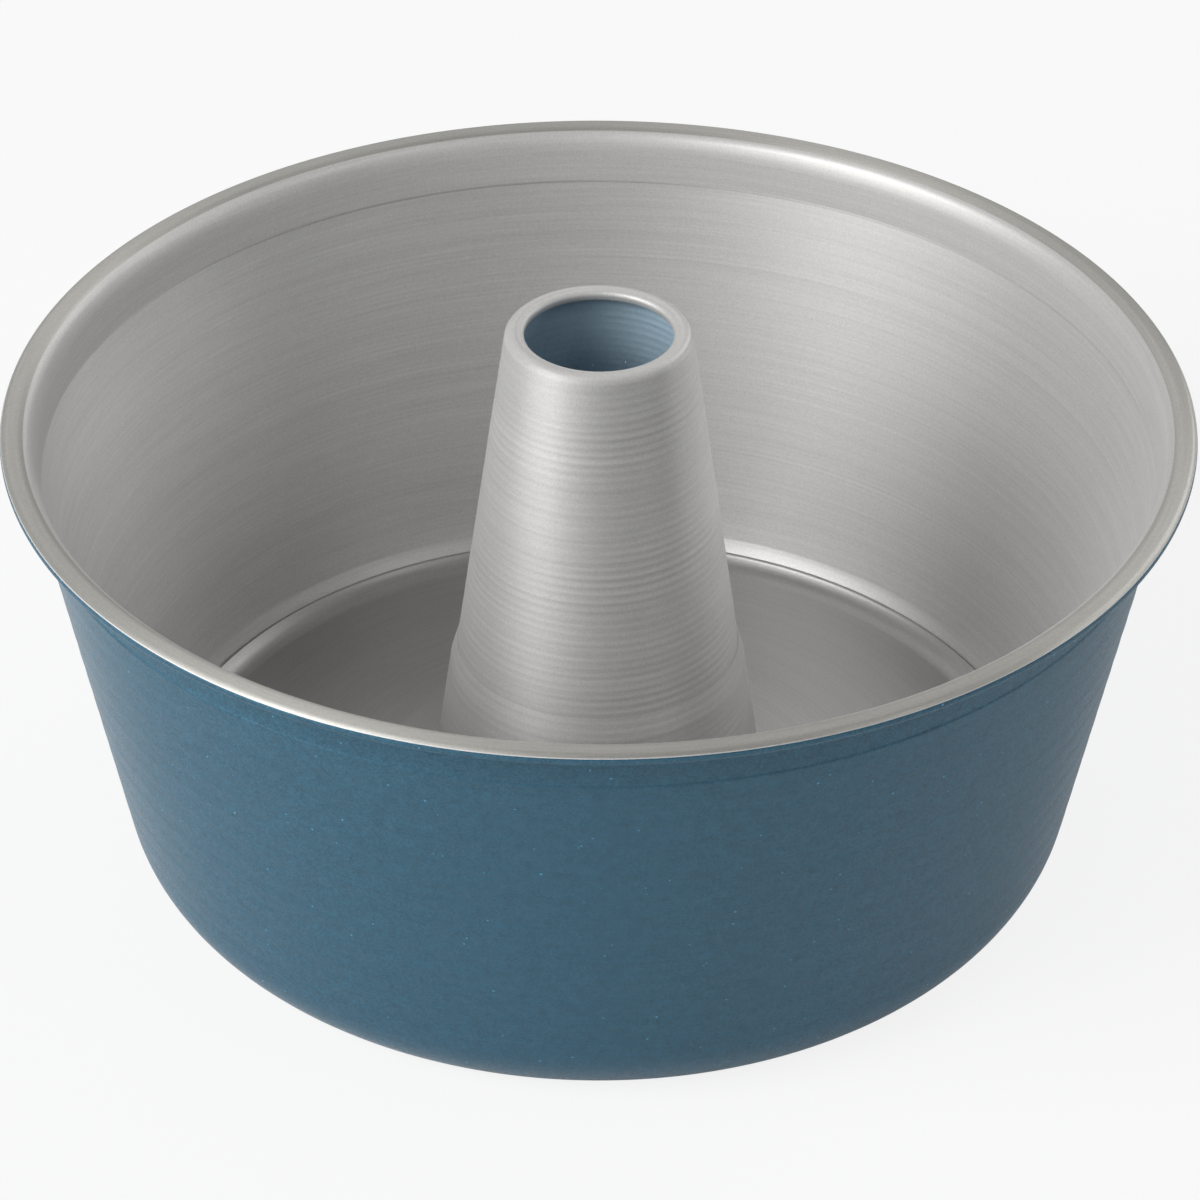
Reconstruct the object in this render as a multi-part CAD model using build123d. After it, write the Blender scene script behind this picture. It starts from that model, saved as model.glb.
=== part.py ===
from build123d import *
import os
from math import cos, radians, sin, sqrt, tan

# An angel food cake pan in two parts. The spun shell has a rolled rim and an open bottom.
# The insert lifts out of it: a floor plate whose neck is drawn up round a tapered centre tube.
# Millimetres, Z up, origin on the axis of the pan in the plane that it stands on.

# Overall sizes
rim_diameter = 260.0
pan_height = 109.5
overall_height = 128.0

# Shell: wall, corner and the fold round its bottom opening
shell_sheet = 1.0
rim_overhang = 4.5
wall_taper = 10.6
corner_radius = 22.1
toe_radius = 7.8
toe_turn = 40.0
opening_radius = 84.0
fold_depth = 6.0
fold_gap = 0.2

# Shell: pressed line below the rim, collar and rolled rim
line_drop = 11.6
line_bend = 1.1
line_turn = 32.0
collar_flare = 17.0
rim_bend = 2.0
rim_roll_height = 2.9
rim_roll_gap = 0.4

# Floor plate of the insert
plate_sheet = 0.9
edge_clearance = 2.4
lip_bend = 1.2
lip_rise = 42.0
lip_length = 3.0
neck_fillet = 4.0
neck_height = 44.2

# Centre tube of the insert
tube_sheet = 0.75
tube_foot_radius = 37.9
tube_taper = 8.0
tube_flange = 5.5
tube_fit = 0.05

# Rolled mouth of the tube: outer crest, shallow dip and inner lip
crest_bend = 2.1
crest_fall = 18.0
dip_bend = 1.1
dip_rise = 8.0
inner_lip_bend = 1.05
inner_lip_tuck = 10.0
inner_lip_length = 0.7

RIGHT_ANGLE = 90.0
HALF_TURN = 180.0


class Walk:
    """A line walked in the plane of radius and height, in straight runs and tangent bends.

    Headings are in degrees: 0 points outward and 90 points up. A positive turn is to the left.
    """

    def __init__(self, radius, height, heading):
        self.radius = radius
        self.height = height
        self.heading = heading
        self.runs = []

    def point(self, radius, height, heading, offset):
        """The point that lies to the left of a place on the line, by the offset."""
        angle = radians(heading)
        return Vector(radius - offset * sin(angle), 0, height + offset * cos(angle))

    def run(self, length):
        start = (self.radius, self.height, self.heading)
        self.radius += length * cos(radians(self.heading))
        self.height += length * sin(radians(self.heading))
        self.runs.append((start, None, (self.radius, self.height, self.heading)))

    def run_to_radius(self, radius):
        self.run((radius - self.radius) / cos(radians(self.heading)))

    def run_to_height(self, height):
        self.run((height - self.height) / sin(radians(self.heading)))

    def bend(self, bend_radius, turn):
        start = (self.radius, self.height, self.heading)
        reach = bend_radius if turn > 0 else -bend_radius
        centre = self.point(self.radius, self.height, self.heading, reach)
        places = []
        for heading in (self.heading + turn / 2, self.heading + turn):
            place = self.point(centre.X, centre.Z, heading, -reach)
            places.append((place.X, place.Z, heading))
        self.runs.append((start, places[0], places[1]))
        self.radius, self.height, self.heading = places[1]

    def side(self, offset):
        """The edges of the line that runs beside this one, to its left by the offset."""
        edges = []
        for start, middle, end in self.runs:
            if middle is None:
                edges.append(Edge.make_line(self.point(*start, offset), self.point(*end, offset)))
            else:
                points = [self.point(*place, offset) for place in (start, middle, end)]
                edges.append(Edge.make_three_point_arc(*points))
        return edges

    def cap(self, place, inner, outer, forward):
        """The rounded edge of the sheet at one end of the line."""
        middle = self.point(*place, (inner + outer) / 2)
        reach = abs(outer - inner) / 2 * forward
        angle = radians(place[2])
        tip = middle + Vector(reach * cos(angle), 0, reach * sin(angle))
        return Edge.make_three_point_arc(self.point(*place, inner), tip, self.point(*place, outer))

    def sheet(self, inner, outer):
        """Sheet metal turned round the axis, between two lines beside this one."""
        ends = [self.cap(self.runs[0][0], inner, outer, -1), self.cap(self.runs[-1][2], inner, outer, 1)]
        outline = Wire(self.side(inner) + self.side(outer) + ends)
        return revolve(Face(outline), Axis.Z)


# Sizes that follow from the ones above
rim_radius = rim_diameter / 2
fold_height = 2 * shell_sheet + fold_gap
floor_height = fold_height + plate_sheet
wall_slope = tan(radians(wall_taper))
tube_slope = tan(radians(tube_taper))


def corner_centres():
    """Radius of the toe's centre, from the wall that the corner above it runs into."""
    spread = corner_radius - toe_radius
    corner_height = toe_radius + spread * cos(radians(toe_turn))
    wall_radius = rim_radius - rim_overhang - wall_slope * (pan_height - corner_height)
    corner_centre = wall_radius - corner_radius / cos(radians(wall_taper))
    return corner_centre + spread * sin(radians(toe_turn))


toe_centre = corner_centres()


def outer_shell():
    """Fold, flat ledge, rounded corner, wall, pressed line, collar and rolled rim, in one sheet."""
    half = shell_sheet / 2
    walk = Walk(opening_radius + fold_depth, fold_height - half, HALF_TURN)
    walk.run_to_radius(opening_radius + fold_height / 2)
    walk.bend((shell_sheet + fold_gap) / 2, HALF_TURN)
    walk.heading = 0.0
    walk.run_to_radius(toe_centre)
    walk.bend(toe_radius - half, toe_turn)
    walk.bend(corner_radius - half, RIGHT_ANGLE - wall_taper - toe_turn)
    walk.run_to_height(pan_height - line_drop)
    walk.bend(line_bend, -line_turn)
    walk.bend(line_bend, 2 * line_turn)
    walk.bend(line_bend, wall_taper - collar_flare - line_turn)
    rise = rim_bend * (1 - cos(radians(walk.heading)))
    walk.run_to_height(pan_height - half - rise)
    collar_top = walk.radius
    walk.bend(rim_bend, -walk.heading)
    walk.run_to_radius(rim_radius - rim_roll_height / 2)
    walk.bend((rim_roll_height - shell_sheet) / 2, -HALF_TURN)
    walk.run_to_radius(collar_top + shell_sheet + rim_roll_gap)
    return walk.sheet(-half, half)


def neck_centre():
    """Radius of the centre of the round where the floor turns up into the neck."""
    bend = neck_fillet + plate_sheet
    rise = fold_height + bend - floor_height
    return tube_foot_radius - tube_slope * rise + bend / cos(radians(tube_taper))


def walk_up_neck(walk):
    """The seam that the plate and the tube share, round the foot of the neck."""
    walk.run_to_radius(neck_centre())
    walk.bend(neck_fillet + plate_sheet, tube_taper - RIGHT_ANGLE)


def floor_plate():
    """Upturned edge, flat floor and drawn neck, walked along the underside of the plate."""
    toe_inside = toe_radius - shell_sheet
    shell_inside = toe_centre + sqrt(toe_inside ** 2 - (toe_radius - fold_height) ** 2)
    floor_radius = shell_inside - edge_clearance
    angle = radians(lip_rise)
    walk = Walk(
        floor_radius + lip_bend * sin(angle) + lip_length * cos(angle),
        fold_height + lip_bend * (1 - cos(angle)) + lip_length * sin(angle),
        HALF_TURN + lip_rise,
    )
    walk.run(lip_length)
    walk.bend(lip_bend, -lip_rise)
    walk_up_neck(walk)
    walk.run_to_height(floor_height + neck_height)
    return walk.sheet(-plate_sheet, 0)


def centre_tube():
    """Foot flange under the plate, tapered tube and rolled mouth, walked along the outside."""
    walk = Walk(neck_centre() + tube_flange, fold_height, HALF_TURN)
    walk_up_neck(walk)
    crest_start = overall_height + tube_fit - crest_bend * (1 - sin(radians(tube_taper)))
    walk.run_to_height(crest_start)
    walk.bend(crest_bend, RIGHT_ANGLE - tube_taper + crest_fall)
    walk.bend(dip_bend, -crest_fall - dip_rise)
    walk.bend(inner_lip_bend, RIGHT_ANGLE + dip_rise + inner_lip_tuck)
    walk.run(inner_lip_length)
    return walk.sheet(tube_fit, tube_fit + tube_sheet)


def main():
    os.makedirs("parts", exist_ok=True)
    export_step(outer_shell(), "parts/outer_shell.step")
    export_step(floor_plate(), "parts/floor_plate.step")
    export_step(centre_tube(), "parts/centre_tube.step")


main()
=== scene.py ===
from collections import namedtuple
from math import atan, ceil, cos, pi, radians, sin, sqrt, tan

import bpy
import numpy as np
from mathutils import Matrix, Vector


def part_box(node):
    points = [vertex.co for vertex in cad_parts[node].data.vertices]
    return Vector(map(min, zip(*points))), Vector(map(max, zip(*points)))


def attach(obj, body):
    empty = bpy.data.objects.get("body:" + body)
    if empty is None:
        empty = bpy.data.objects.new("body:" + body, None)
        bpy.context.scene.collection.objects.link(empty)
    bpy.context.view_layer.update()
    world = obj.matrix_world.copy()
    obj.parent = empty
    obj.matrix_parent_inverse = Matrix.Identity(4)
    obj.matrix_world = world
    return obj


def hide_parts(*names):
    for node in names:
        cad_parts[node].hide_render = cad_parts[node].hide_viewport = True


# An angel food cake pan: a spun shell, blue outside and silver inside, and the insert that lifts
# out of it, a floor plate with a drawn neck round a tapered tube.
# The outlines are in millimetres, as the solids are, and turn to metres when a mesh is made.

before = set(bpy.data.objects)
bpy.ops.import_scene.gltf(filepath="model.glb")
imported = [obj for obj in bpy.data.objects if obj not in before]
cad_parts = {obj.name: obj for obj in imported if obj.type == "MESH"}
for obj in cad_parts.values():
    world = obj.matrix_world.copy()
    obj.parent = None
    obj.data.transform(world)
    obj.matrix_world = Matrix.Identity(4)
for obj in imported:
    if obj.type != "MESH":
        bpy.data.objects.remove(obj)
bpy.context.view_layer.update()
METRE = 1000.0

# Overall sizes. The two heights are read from the solids.
pan_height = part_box("outer_shell")[1].z * METRE
overall_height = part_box("centre_tube")[1].z * METRE
rim_diameter = 260.0

# Shell: wall, corner and the fold round its bottom opening
shell_sheet = 1.0
rim_overhang = 4.5
wall_taper = 10.6
corner_radius = 22.1
toe_radius = 7.8
toe_turn = 40.0
opening_radius = 84.0
fold_depth = 6.0
fold_gap = 0.2

# Shell: pressed line below the rim, collar and rolled rim. The line, the collar and the rim's
# bend follow the photo more closely than those of the solid.
line_drop = 13.4
line_bend = 0.85
line_lead = 4.0
line_turn = 38.0
collar_flare = 6.0
collar_bend = 9.0
collar_turn = 20.0
rim_bend = 3.5
rim_roll_height = 2.9
rim_roll_gap = 0.4

# Shell: where its finish changes. The blue coat reaches round the rim's roll to a heading, the
# rim and the collar are measured down from the top, and the corner up from the base.
rim_coat_edge = 64.0
rim_edge = 1.0
smooth_collar = 12.2
glossy_corner = 8.0

# Floor plate of the insert. Its edge rises in a small kink and a long gentle bend.
plate_sheet = 0.9
edge_clearance = 3.3
lip_kink_bend = 1.0
lip_kink = 6.0
lip_bend = 9.6
lip_rise = 44.0
lip_length = 0.3

# Neck of the plate, round the tube's foot. Its sheet thins over the feather to its edge.
neck_fillet = 4.0
neck_height = 44.2
neck_turn_seen = 30.0
neck_feather = 5.0
neck_edge = 0.12

# Centre tube of the insert
tube_sheet = 0.75
tube_foot_radius = 37.9
tube_taper = 8.0
tube_flange = 5.5
tube_fit = 0.05

# Rolled mouth of the tube: outer crest, shallow dip and inner lip
crest_bend = 2.1
crest_fall = 18.0
dip_bend = 1.1
dip_rise = 8.0
inner_lip_bend = 1.05
inner_lip_tuck = 10.0
inner_lip_length = 0.7
mouth_edge = 135.0

# Turning ridges, each as pitch, height and starts round the axis
tube_ridges = (
    (1.95, 0.034, 1),
    (2.07, 0.018, 0),
    (1.84, 0.018, 2),
    (5.3, 0.012, 0),
    (0.97, 0.006, 1),
)
wall_ridges = (
    (1.18, 0.0085, 1),
    (1.34, 0.0065, 0),
    (3.3, 0.010, 0),
    (6.9, 0.028, 1),
)
ridge_fade = 3.0
shell_seed = 3
insert_seed = 5

# How closely the outlines and the turned meshes are divided
plain_spacing = 1.5
wall_spacing = 0.25
tube_spacing = 0.36
bend_step = 9.0
shell_segments = 288
insert_segments = 192

# Where on its half circle each ring of a sheet's rounded edge lies
EDGE_SHARES = (0.25, 0.5, 0.75)

# Turns of an outline are in degrees, and turns round the axis in radians
RIGHT_ANGLE = 90.0
HALF_TURN = 180.0
FULL_TURN = 2 * pi

# How the ridges of a straight run begin and end
PLAIN = "plain"
FADING = "fading"
STARTING = "starting"
FULL = "full"

# Finishes, in the order of a piece's materials
SPUN = 0
BLUE = 1
SMOOTH = 2
EDGE = 3
CORNER = 4

# Sizes that follow from the ones above
rim_radius = rim_diameter / 2
fold_height = 2 * shell_sheet + fold_gap
floor_height = fold_height + plate_sheet
wall_slope = tan(radians(wall_taper))
tube_slope = tan(radians(tube_taper))

# A place on a walked line, with the share of their height that its ridges have there, and the
# share of its thickness that the sheet has
Station = namedtuple("Station", "radius height heading fade thinned")


class Walk:
    """A line walked in the plane of radius and height, kept as closely spaced stations.

    Headings are in degrees: 0 points outward and 90 points up. A positive turn is to the left.
    """

    def __init__(self, radius, height, heading):
        self.stations = [Station(radius, height, heading, 0.0, 1.0)]

    @property
    def last(self):
        return self.stations[-1]

    def run(self, length, spacing=plain_spacing, ridges=PLAIN, thinned=1.0):
        """A straight run. Its ridges may fade in and out, and its sheet may thin."""
        start = self.last
        steps = max(1, ceil(length / spacing))
        for step in range(1, steps + 1):
            along = length * step / steps
            fade_in = along / ridge_fade if ridges in (FADING, STARTING) else 1.0
            fade_out = (length - along) / ridge_fade if ridges == FADING else 1.0
            self.stations.append(Station(
                start.radius + along * cos(radians(start.heading)),
                start.height + along * sin(radians(start.heading)),
                start.heading,
                0.0 if ridges == PLAIN else min(1.0, fade_in, fade_out),
                1.0 + (thinned - 1.0) * step / steps,
            ))

    def run_to_radius(self, radius):
        self.run((radius - self.last.radius) / cos(radians(self.last.heading)))

    def run_to_height(self, height, *how):
        self.run((height - self.last.height) / sin(radians(self.last.heading)), *how)

    def bend(self, bend_radius, turn):
        start = self.last
        reach = bend_radius if turn > 0 else -bend_radius
        arc = bend_radius * radians(abs(turn))
        steps = max(ceil(abs(turn) / bend_step), ceil(arc / plain_spacing))
        for step in range(1, steps + 1):
            heading = start.heading + turn * step / steps
            self.stations.append(Station(
                start.radius + reach * (sin(radians(heading)) - sin(radians(start.heading))),
                start.height - reach * (cos(radians(heading)) - cos(radians(start.heading))),
                heading,
                0.0,
                1.0,
            ))

    def turn_back(self):
        """Counts the heading from zero again after a whole fold."""
        self.stations[-1] = self.last._replace(heading=0.0)


class Ring:
    """A circle of the turned mesh, which lies off a station to its left and forward of it."""

    def __init__(self, station, offset, finish, along=0.0, forward=0.0):
        angle = radians(station.heading)
        offset *= station.thinned
        forward *= station.thinned
        self.radius = station.radius - offset * sin(angle) + forward * cos(angle)
        self.height = station.height + offset * cos(angle) + forward * sin(angle)
        self.lift_outward = -sin(angle)
        self.lift_upward = cos(angle)
        self.fade = station.fade
        self.finish = finish
        self.along = along


def lengths(stations):
    """How far along the line each station lies."""
    found = [0.0]
    for before, after in zip(stations, stations[1:]):
        across = after.radius - before.radius
        upward = after.height - before.height
        found.append(found[-1] + sqrt(across ** 2 + upward ** 2))
    return found


def edge_rings(station, inner, outer, forward, finish):
    """The rounded edge of the sheet at one end of the line, from inner to outer."""
    middle = (inner + outer) / 2
    reach = (outer - inner) / 2
    found = []
    for share in EDGE_SHARES:
        angle = pi * share
        ahead = abs(reach) * sin(angle) * forward
        found.append(Ring(station, middle - reach * cos(angle), finish, 0.0, ahead))
    return found


def sheet_rings(walk, right, left, right_finish, left_finish):
    """Both sides of a sheet and its two rounded edges, as one closed round of rings."""
    pairs = list(zip(walk.stations, lengths(walk.stations)))
    right_side = [Ring(s, right, right_finish(s), along) for s, along in pairs]
    left_side = [Ring(s, left, left_finish(s), along) for s, along in reversed(pairs)]
    far_edge = edge_rings(walk.stations[-1], right, left, 1, right_side[-1].finish)
    near_edge = edge_rings(walk.stations[0], left, right, -1, right_side[0].finish)
    return right_side + far_edge + left_side + near_edge


def column(values):
    return np.array(list(values))[:, None]


def turned_points(rings, ridges, segments, seed):
    """The points of a mesh turned round the axis, in metres, with its ridges in the surface."""
    turn = np.arange(segments) * FULL_TURN / segments
    phases = np.random.RandomState(seed).uniform(0, FULL_TURN, len(ridges))
    along = column(ring.along for ring in rings)
    lift = np.zeros((len(rings), segments))
    for (pitch, height, starts), phase in zip(ridges, phases):
        lift += height * np.cos(FULL_TURN * along / pitch - starts * turn[None, :] + phase)
    lift *= column(ring.fade for ring in rings)
    outward = column(ring.lift_outward for ring in rings)
    upward = column(ring.lift_upward for ring in rings)
    radius = column(ring.radius for ring in rings) + lift * outward
    height = column(ring.height for ring in rings) + lift * upward
    points = np.stack([radius * np.cos(turn), radius * np.sin(turn), height], axis=2)
    return points.reshape(-1, 3) / METRE


def turned_faces(count, segments):
    """The faces between each ring and the next one, all the way round."""
    ring = np.arange(count)[:, None]
    segment = np.arange(segments)[None, :]
    next_ring = (ring + 1) % count
    next_segment = (segment + 1) % segments
    corners = (
        ring * segments + segment,
        ring * segments + next_segment,
        next_ring * segments + next_segment,
        next_ring * segments + segment,
    )
    return np.stack(corners, axis=2).reshape(-1, 4)


def turned_mesh(name, rings, ridges, segments, seed):
    """A closed mesh turned round the axis, with a finish for each ring."""
    points = turned_points(rings, ridges, segments, seed)
    faces = turned_faces(len(rings), segments)
    finishes = np.repeat([ring.finish for ring in rings], segments)
    mesh = bpy.data.meshes.new(name)
    mesh.from_pydata(points.tolist(), [], faces.tolist())
    mesh.polygons.foreach_set("material_index", finishes.astype(np.int32))
    mesh.polygons.foreach_set("use_smooth", np.ones(len(faces), bool))
    mesh.update()
    return mesh


def piece(name, mesh, materials, body, node):
    made = bpy.data.objects.new(name, mesh)
    bpy.context.scene.collection.objects.link(made)
    for material in materials:
        mesh.materials.append(material)
    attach(made, body)
    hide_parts(node)


def corner_centres():
    """Radius of the toe's centre, from the wall that the corner above it runs into."""
    spread = corner_radius - toe_radius
    corner_height = toe_radius + spread * cos(radians(toe_turn))
    wall_radius = rim_radius - rim_overhang - wall_slope * (pan_height - corner_height)
    corner_centre = wall_radius - corner_radius / cos(radians(wall_taper))
    return corner_centre + spread * sin(radians(toe_turn))


toe_centre = corner_centres()


def blue_finish(station):
    return BLUE


def shell_finish(station):
    """Inside, the corner is glossy, the wall spun and the collar smooth, and the rim is bare."""
    if station.heading < -rim_coat_edge:
        return BLUE
    if station.height > pan_height - rim_edge:
        return EDGE
    if station.height < glossy_corner:
        return CORNER
    return SPUN if station.height < pan_height - smooth_collar else SMOOTH


def shell_rings():
    """Fold, flat ledge, rounded corner, wall, pressed line, collar and rolled rim."""
    half = shell_sheet / 2
    walk = Walk(opening_radius + fold_depth, fold_height - half, HALF_TURN)
    walk.run_to_radius(opening_radius + fold_height / 2)
    walk.bend((shell_sheet + fold_gap) / 2, HALF_TURN)
    walk.turn_back()
    walk.run_to_radius(toe_centre)
    walk.bend(toe_radius - half, toe_turn)
    walk.bend(corner_radius - half, RIGHT_ANGLE - wall_taper - toe_turn)
    walk.run_to_height(pan_height - line_drop, wall_spacing, FADING)
    walk.bend(line_bend, -line_lead)
    walk.bend(line_bend, line_turn)
    walk.bend(line_bend, wall_taper - collar_flare + line_lead - line_turn)
    heading = walk.last.heading
    leaning = heading - collar_turn
    collar_rise = collar_bend * (cos(radians(leaning)) - cos(radians(heading)))
    rim_rise = rim_bend * (1 - cos(radians(leaning)))
    walk.run_to_height(pan_height - half - rim_rise - collar_rise)
    walk.bend(collar_bend, -collar_turn)
    collar_top = walk.last.radius
    walk.bend(rim_bend, -walk.last.heading)
    walk.run_to_radius(rim_radius - rim_roll_height / 2)
    walk.bend((rim_roll_height - shell_sheet) / 2, -HALF_TURN)
    walk.run_to_radius(collar_top + shell_sheet + rim_roll_gap)
    return sheet_rings(walk, -half, half, blue_finish, shell_finish)


def neck_centre():
    """Radius of the centre of the round where the floor turns up into the neck."""
    bend = neck_fillet + plate_sheet
    rise = fold_height + bend - floor_height
    return tube_foot_radius - tube_slope * rise + bend / cos(radians(tube_taper))


def walk_up_neck(walk):
    """The seam that the plate and the tube share, round the foot of the neck."""
    walk.run_to_radius(neck_centre())
    walk.bend(neck_fillet + plate_sheet, tube_taper - RIGHT_ANGLE)


def plate_finish(station):
    """The floor of the plate and its upturned edge are smooth, and its neck is spun."""
    return SMOOTH if station.heading >= HALF_TURN - neck_turn_seen else SPUN


def plate_rings():
    """Upturned edge, flat floor and drawn neck, walked along the underside of the plate."""
    toe_inside = toe_radius - shell_sheet
    shell_inside = toe_centre + sqrt(toe_inside ** 2 - (toe_radius - fold_height) ** 2)
    floor_radius = shell_inside - edge_clearance
    kink = radians(lip_kink)
    rise = radians(lip_rise)
    bend_width = lip_kink_bend * sin(kink) + lip_bend * (sin(rise) - sin(kink))
    bend_height = lip_kink_bend * (1 - cos(kink)) + lip_bend * (cos(kink) - cos(rise))
    walk = Walk(
        floor_radius + bend_width + lip_length * cos(rise),
        fold_height + bend_height + lip_length * sin(rise),
        HALF_TURN + lip_rise,
    )
    walk.run(lip_length)
    walk.bend(lip_bend, lip_kink - lip_rise)
    walk.bend(lip_kink_bend, -lip_kink)
    walk_up_neck(walk)
    neck_top = floor_height + neck_height
    walk.run_to_height(neck_top - neck_feather, tube_spacing, STARTING)
    walk.run_to_height(neck_top, tube_spacing, FULL, neck_edge / plate_sheet)
    return sheet_rings(walk, -plate_sheet, 0, plate_finish, blue_finish)


def tube_finish(station):
    """The tube is spun, and smooth from the shoulder of its mouth inward."""
    return SMOOTH if station.heading > mouth_edge else SPUN


def tube_rings():
    """Foot flange under the plate, tapered tube and rolled mouth, walked along the outside."""
    walk = Walk(neck_centre() + tube_flange, fold_height, HALF_TURN)
    walk_up_neck(walk)
    crest_start = overall_height + tube_fit - crest_bend * (1 - sin(radians(tube_taper)))
    walk.run_to_height(crest_start, tube_spacing, STARTING)
    walk.bend(crest_bend, RIGHT_ANGLE - tube_taper + crest_fall)
    walk.bend(dip_bend, -crest_fall - dip_rise)
    walk.bend(inner_lip_bend, RIGHT_ANGLE + dip_rise + inner_lip_tuck)
    walk.run(inner_lip_length)
    return sheet_rings(walk, tube_fit, tube_fit + tube_sheet, tube_finish, blue_finish)


class Nodes:
    """The nodes of a material or a world, with short calls that make and join them."""

    def __init__(self, tree):
        self.tree = tree

    def add(self, kind, inputs=(), **settings):
        made = self.tree.nodes.new(kind)
        for key, value in settings.items():
            setattr(made, key, value)
        for key, value in dict(inputs).items():
            self.put(made.inputs[key], value)
        return made

    def put(self, socket, value):
        if isinstance(value, bpy.types.NodeSocket):
            self.tree.links.new(value, socket)
        else:
            socket.default_value = value

    def math(self, operation, *values):
        made = self.add("ShaderNodeMath", operation=operation)
        for socket, value in zip(made.inputs, values):
            self.put(socket, value)
        return made.outputs[0]

    def vector_math(self, operation, *values):
        made = self.add("ShaderNodeVectorMath", operation=operation)
        for socket, value in zip(made.inputs, values):
            self.put(socket, value)
        return made.outputs[0]

    def scaled(self, vector, factor):
        """A vector or a colour, times a factor."""
        made = self.add("ShaderNodeVectorMath", {0: vector}, operation="SCALE")
        self.put(made.inputs["Scale"], factor)
        return made.outputs[0]

    def noise(self, vector, scale, detail, roughness):
        made = self.add("ShaderNodeTexNoise", {
            "Vector": vector,
            "Scale": scale,
            "Detail": detail,
            "Roughness": roughness,
        })
        return made.outputs["Fac"]

    def spread(self, value, low, high):
        """A noise value, which lies mostly between 0.3 and 0.7, spread out from low to high."""
        made = self.add("ShaderNodeMapRange", {
            "Value": value,
            "From Min": 0.3,
            "From Max": 0.7,
            "To Min": low,
            "To Max": high,
        })
        return made.outputs["Result"]

    def place(self):
        """Where a point of the surface is on its piece, in metres."""
        return self.add("ShaderNodeTexCoord").outputs["Object"]

    def round_place(self, place):
        """Radius and height, with a slow drift round the axis, so that a texture runs in rings."""
        drift = 0.02
        parts = self.add("ShaderNodeSeparateXYZ", {0: place})
        across = self.math("POWER", parts.outputs["X"], 2.0)
        deep = self.math("POWER", parts.outputs["Y"], 2.0)
        radius = self.math("SQRT", self.math("ADD", across, deep))
        around = self.math("ADD", parts.outputs["X"], parts.outputs["Y"])
        around = self.math("MULTIPLY", around, drift)
        made = self.add("ShaderNodeCombineXYZ", {0: radius, 1: parts.outputs["Z"], 2: around})
        return made.outputs[0]

    def reflected(self, path):
        """1 for a ray that a glossy or a clear surface sends on, and 0 for any other."""
        glossy = path.outputs["Is Glossy Ray"]
        return self.math("MAXIMUM", glossy, path.outputs["Is Transmission Ray"])


def new_material(name):
    material = bpy.data.materials.new(name)
    material.use_nodes = True
    material.node_tree.nodes.clear()
    return material, Nodes(material.node_tree)


def give_surface(nodes, shader):
    output = nodes.add("ShaderNodeOutputMaterial")
    nodes.tree.links.new(shader.outputs[0], output.inputs["Surface"])


def silver_coat(name, colour, metal, roughness, stretch, line_height, gloss, gloss_spread):
    """Satin silver with fine turning lines, grain and slow changes of tone."""
    line_scale, line_tone, line_share = 1600.0, 0.05, 0.7
    band_scale, band_tone, band_roughness = 160.0, 0.03, 0.03
    grain_scale, grain_tone, grain_share = 2600.0, 0.08, 0.3
    quarter_turn = 0.25
    material, nodes = new_material(name)
    around = nodes.add("ShaderNodeTangent", direction_type="RADIAL", axis="Z")
    place = nodes.place()
    rings = nodes.round_place(place)
    lines = nodes.noise(rings, line_scale, 3.0, 0.6)
    bands = nodes.noise(rings, band_scale, 2.0, 0.5)
    grain = nodes.noise(place, grain_scale, 2.0, 0.6)
    line_change = nodes.spread(lines, -line_tone, line_tone)
    band_change = nodes.spread(bands, -band_tone, band_tone)
    tone = nodes.math("ADD", line_change, band_change)
    tone = nodes.math("ADD", tone, nodes.spread(grain, -grain_tone, grain_tone))
    tone = nodes.math("ADD", tone, 1.0)
    line_part = nodes.math("MULTIPLY", lines, line_share)
    grain_part = nodes.math("MULTIPLY", grain, grain_share)
    bump = nodes.add("ShaderNodeBump", {
        "Strength": 1.0,
        "Distance": line_height / METRE,
        "Height": nodes.math("ADD", line_part, grain_part),
    })
    give_surface(nodes, nodes.add("ShaderNodeBsdfPrincipled", {
        "Base Color": nodes.scaled(colour, tone),
        "Metallic": metal,
        "Roughness": nodes.spread(bands, roughness - band_roughness, roughness + band_roughness),
        "Normal": bump.outputs[0],
        "Anisotropic": stretch,
        "Anisotropic Rotation": quarter_turn,
        "Tangent": around.outputs[0],
        "Coat Weight": gloss,
        "Coat Roughness": gloss_spread,
    }))
    return material


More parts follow.
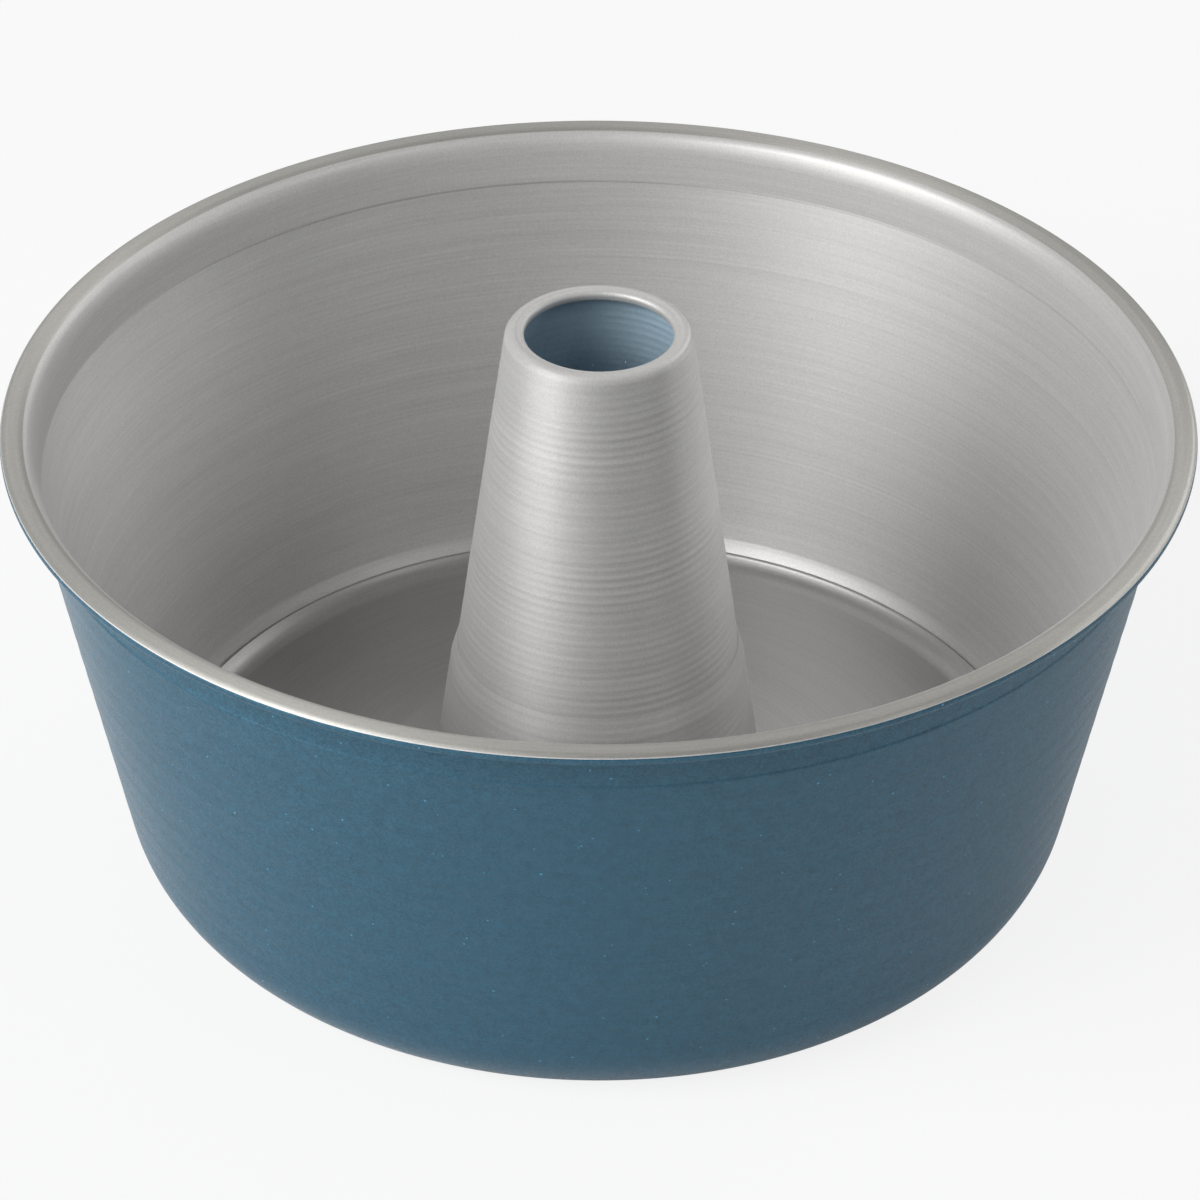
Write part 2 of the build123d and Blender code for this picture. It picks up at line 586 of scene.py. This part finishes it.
def blue_coat(name, colour, metal, roughness, flake, gloss, gloss_spread):
    """Metallic blue: fine flakes that tilt at random under a clear coat, with bright specks."""
    line_scale, line_tone = 900.0, 0.04
    mottle_scale, mottle_tone = 420.0, 0.09 * flake
    flake_scale, flake_tone, flake_tilt = 2600.0, 0.5 * flake, 0.35 * flake
    speck_limit, speck_tone = 0.9993, 2.0
    edge_tint = (0.4, 0.7, 0.9, 1.0)
    middle = 0.5
    material, nodes = new_material(name)
    place = nodes.place()
    lines = nodes.noise(nodes.round_place(place), line_scale, 3.0, 0.6)
    mottle = nodes.noise(place, mottle_scale, 3.0, 0.6)
    flakes = nodes.add("ShaderNodeTexVoronoi", {"Vector": place, "Scale": flake_scale})
    chance = flakes.outputs["Color"]
    tilt = nodes.vector_math("SUBTRACT", chance, (middle, middle, middle))
    normal = nodes.add("ShaderNodeNewGeometry").outputs["Normal"]
    tilted = nodes.vector_math("ADD", normal, nodes.scaled(tilt, flake_tilt))
    chances = nodes.add("ShaderNodeSeparateXYZ", {0: chance})
    sparkle = nodes.math("SUBTRACT", chances.outputs["X"], middle)
    sparkle = nodes.math("MULTIPLY", sparkle, flake_tone)
    speck = nodes.math("GREATER_THAN", chances.outputs["Y"], speck_limit)
    speck = nodes.math("MULTIPLY", speck, speck_tone)
    line_change = nodes.spread(lines, -line_tone, line_tone)
    mottle_change = nodes.spread(mottle, -mottle_tone, mottle_tone)
    tone = nodes.math("ADD", line_change, mottle_change)
    tone = nodes.math("ADD", tone, nodes.math("ADD", sparkle, speck))
    tone = nodes.math("ADD", tone, 1.0)
    give_surface(nodes, nodes.add("ShaderNodeBsdfPrincipled", {
        "Base Color": nodes.scaled(colour, tone),
        "Metallic": metal,
        "Roughness": roughness,
        "Normal": nodes.vector_math("NORMALIZE", tilted),
        "Specular IOR Level": 0.0,
        "Specular Tint": edge_tint,
        "Coat Weight": gloss,
        "Coat Roughness": gloss_spread,
    }))
    return material


def make_pan():
    """The three pieces, each with its materials in the order of the finishes."""
    silver_spun = silver_coat(
        "silver_spun", (0.62, 0.615, 0.61), metal=0.32, roughness=0.6,
        stretch=0.9, line_height=0.008, gloss=0.0, gloss_spread=0.3,
    )
    silver_smooth = silver_coat(
        "silver_smooth", (0.625, 0.617, 0.602), metal=0.35, roughness=0.5,
        stretch=0.0, line_height=0.002, gloss=0.1, gloss_spread=0.3,
    )
    silver_corner = silver_coat(
        "silver_corner", (0.61, 0.603, 0.588), metal=0.4, roughness=0.44,
        stretch=0.0, line_height=0.002, gloss=0.12, gloss_spread=0.28,
    )
    silver_floor = silver_coat(
        "silver_floor", (0.54, 0.535, 0.525), metal=0.9, roughness=0.36,
        stretch=0.0, line_height=0.004, gloss=0.0, gloss_spread=0.3,
    )
    silver_edge = silver_coat(
        "silver_edge", (0.47, 0.461, 0.43), metal=0.55, roughness=0.5,
        stretch=0.8, line_height=0.002, gloss=0.5, gloss_spread=0.16,
    )
    blue_outside = blue_coat(
        "blue_flake", (0.035, 0.12, 0.184), metal=0.3, roughness=0.55,
        flake=1.0, gloss=0.84, gloss_spread=0.22,
    )
    # The bore is the same blue paint as the outside, drawn several times lighter and with little
    # flake: painted light and sheen on the inside of the tube.
    bore_blue_painted_light = blue_coat(
        "bore_blue_painted_light", (0.4, 0.53, 0.62), metal=0.0, roughness=0.5,
        flake=0.2, gloss=0.4, gloss_spread=0.3,
    )
    shell = turned_mesh("shell", shell_rings(), wall_ridges, shell_segments, shell_seed)
    plate = turned_mesh("plate", plate_rings(), tube_ridges, insert_segments, insert_seed)
    tube = turned_mesh("tube", tube_rings(), tube_ridges, insert_segments, insert_seed)
    shell_coats = (silver_spun, blue_outside, silver_smooth, silver_edge, silver_corner)
    plate_coats = (silver_spun, blue_outside, silver_floor)
    tube_coats = (silver_spun, bore_blue_painted_light, silver_smooth)
    piece("shell_spun", shell, shell_coats, "root", "outer_shell")
    piece("plate_pressed", plate, plate_coats, "insert", "floor_plate")
    piece("tube_spun", tube, tube_coats, "insert", "centre_tube")


def make_floor():
    """A pale floor just under the pan, which the camera sees as nearly white.

    The share of plain white is large for the camera and small for reflections, so that the
    pan's soft shadow shows on the floor and, more strongly, in what the blue coat reflects.
    """
    half = 12.0
    level = -0.05 / METRE
    floor_seen = 0.85
    floor_reflected = 0.12
    mesh = bpy.data.meshes.new("floor")
    corners = [
        (-half, -half, level),
        (half, -half, level),
        (half, half, level),
        (-half, half, level),
    ]
    mesh.from_pydata(corners, [], [(0, 1, 2, 3)])
    floor = bpy.data.objects.new("floor", mesh)
    bpy.context.scene.collection.objects.link(floor)
    material, nodes = new_material("floor_white")
    path = nodes.add("ShaderNodeLightPath")
    reflected = nodes.math("MULTIPLY", nodes.reflected(path), floor_reflected)
    seen = nodes.math("MULTIPLY", path.outputs["Is Camera Ray"], floor_seen)
    pale = nodes.add("ShaderNodeBsdfDiffuse", {"Color": (0.8, 0.8, 0.8, 1.0)})
    white = nodes.add("ShaderNodeEmission", {"Color": (1.0, 1.0, 1.0, 1.0), "Strength": 1.0})
    give_surface(nodes, nodes.add("ShaderNodeMixShader", {
        0: nodes.math("MAXIMUM", seen, reflected),
        1: pale.outputs[0],
        2: white.outputs[0],
    }))
    mesh.materials.append(material)


def make_lamp(name, azimuth, elevation, size, watts):
    """A square soft lamp. Seen from the camera, azimuth 0 is behind the pan and 90 to its right."""
    distance = 2.0
    data = bpy.data.lights.new(name, "AREA")
    data.shape = "SQUARE"
    data.size = size
    data.energy = watts
    lamp = bpy.data.objects.new(name, data)
    bpy.context.scene.collection.objects.link(lamp)
    level = distance * cos(radians(elevation))
    lamp.location = (
        level * sin(radians(azimuth)),
        level * cos(radians(azimuth)),
        distance * sin(radians(elevation)),
    )
    direction = Vector((0, 0, pan_height / METRE / 2)) - lamp.location
    lamp.rotation_mode = "QUATERNION"
    lamp.rotation_quaternion = direction.to_track_quat("-Z", "Y")


def make_world():
    """A world that the camera sees as white, and that lights the pan only a little."""
    world_strength = 0.12
    world_reflected = 0.2
    world = bpy.data.worlds.new("studio")
    world.use_nodes = True
    nodes = Nodes(world.node_tree)
    path = nodes.add("ShaderNodeLightPath")
    dimmed = nodes.add("ShaderNodeMapRange", {
        "Value": nodes.reflected(path),
        "To Min": world_strength,
        "To Max": world_reflected,
    })
    background = world.node_tree.nodes["Background"]
    strength = nodes.math("MAXIMUM", dimmed.outputs["Result"], path.outputs["Is Camera Ray"])
    nodes.put(background.inputs["Color"], (1.0, 1.0, 1.0, 1.0))
    nodes.put(background.inputs["Strength"], strength)
    bpy.context.scene.world = world


def make_lamps():
    """A broad key and a smaller, higher one at the front left, and weak lamps all round."""
    make_lamp("key_soft", azimuth=-115.0, elevation=24.0, size=1.5, watts=23.5)
    make_lamp("key_crisp", azimuth=-124.0, elevation=42.0, size=0.9, watts=13.5)
    make_lamp("back_right", azimuth=46.0, elevation=31.0, size=1.2, watts=10.0)
    make_lamp("back_left", azimuth=-12.0, elevation=42.0, size=1.2, watts=3.5)
    make_lamp("fill_right", azimuth=85.0, elevation=22.0, size=0.8, watts=5.0)
    make_lamp("fill_high", azimuth=122.0, elevation=43.0, size=0.6, watts=2.5)
    make_lamp("fill_front", azimuth=-152.0, elevation=36.0, size=0.8, watts=5.0)


def make_camera():
    """The photograph's view, found from the outlines of the rim, the tube and the wall in it.

    The focal length and the place of the rim's centre are in pixels of the photograph.
    """
    picture_width = 1200.0
    focal_length = 4500.0
    elevation = 31.915
    distance = 0.9824
    roll = 0.233
    rim_left = 1.2
    rim_above = 197.2
    data = bpy.data.cameras.new("camera")
    data.sensor_width = 36.0
    data.lens = data.sensor_width * focal_length / picture_width
    data.clip_start = 0.05
    data.clip_end = 50.0
    camera = bpy.data.objects.new("camera", data)
    bpy.context.scene.collection.objects.link(camera)
    rim_centre = Vector((0, 0, pan_height / METRE))
    back = Vector((0, -cos(radians(elevation)), sin(radians(elevation))))
    place = Matrix.Translation(rim_centre + back * distance)
    look = (-back).to_track_quat("-Z", "Y").to_matrix().to_4x4()
    turned = Matrix.Rotation(radians(roll), 4, "Z")
    lowered = Matrix.Rotation(-atan(rim_above / focal_length), 4, "X")
    swung = Matrix.Rotation(-atan(rim_left / focal_length), 4, "Y")
    camera.matrix_world = place @ look @ turned @ lowered @ swung
    bpy.context.scene.camera = camera


make_camera()
make_pan()
make_floor()
make_world()
make_lamps()
bpy.context.scene.view_settings.view_transform = "Standard"
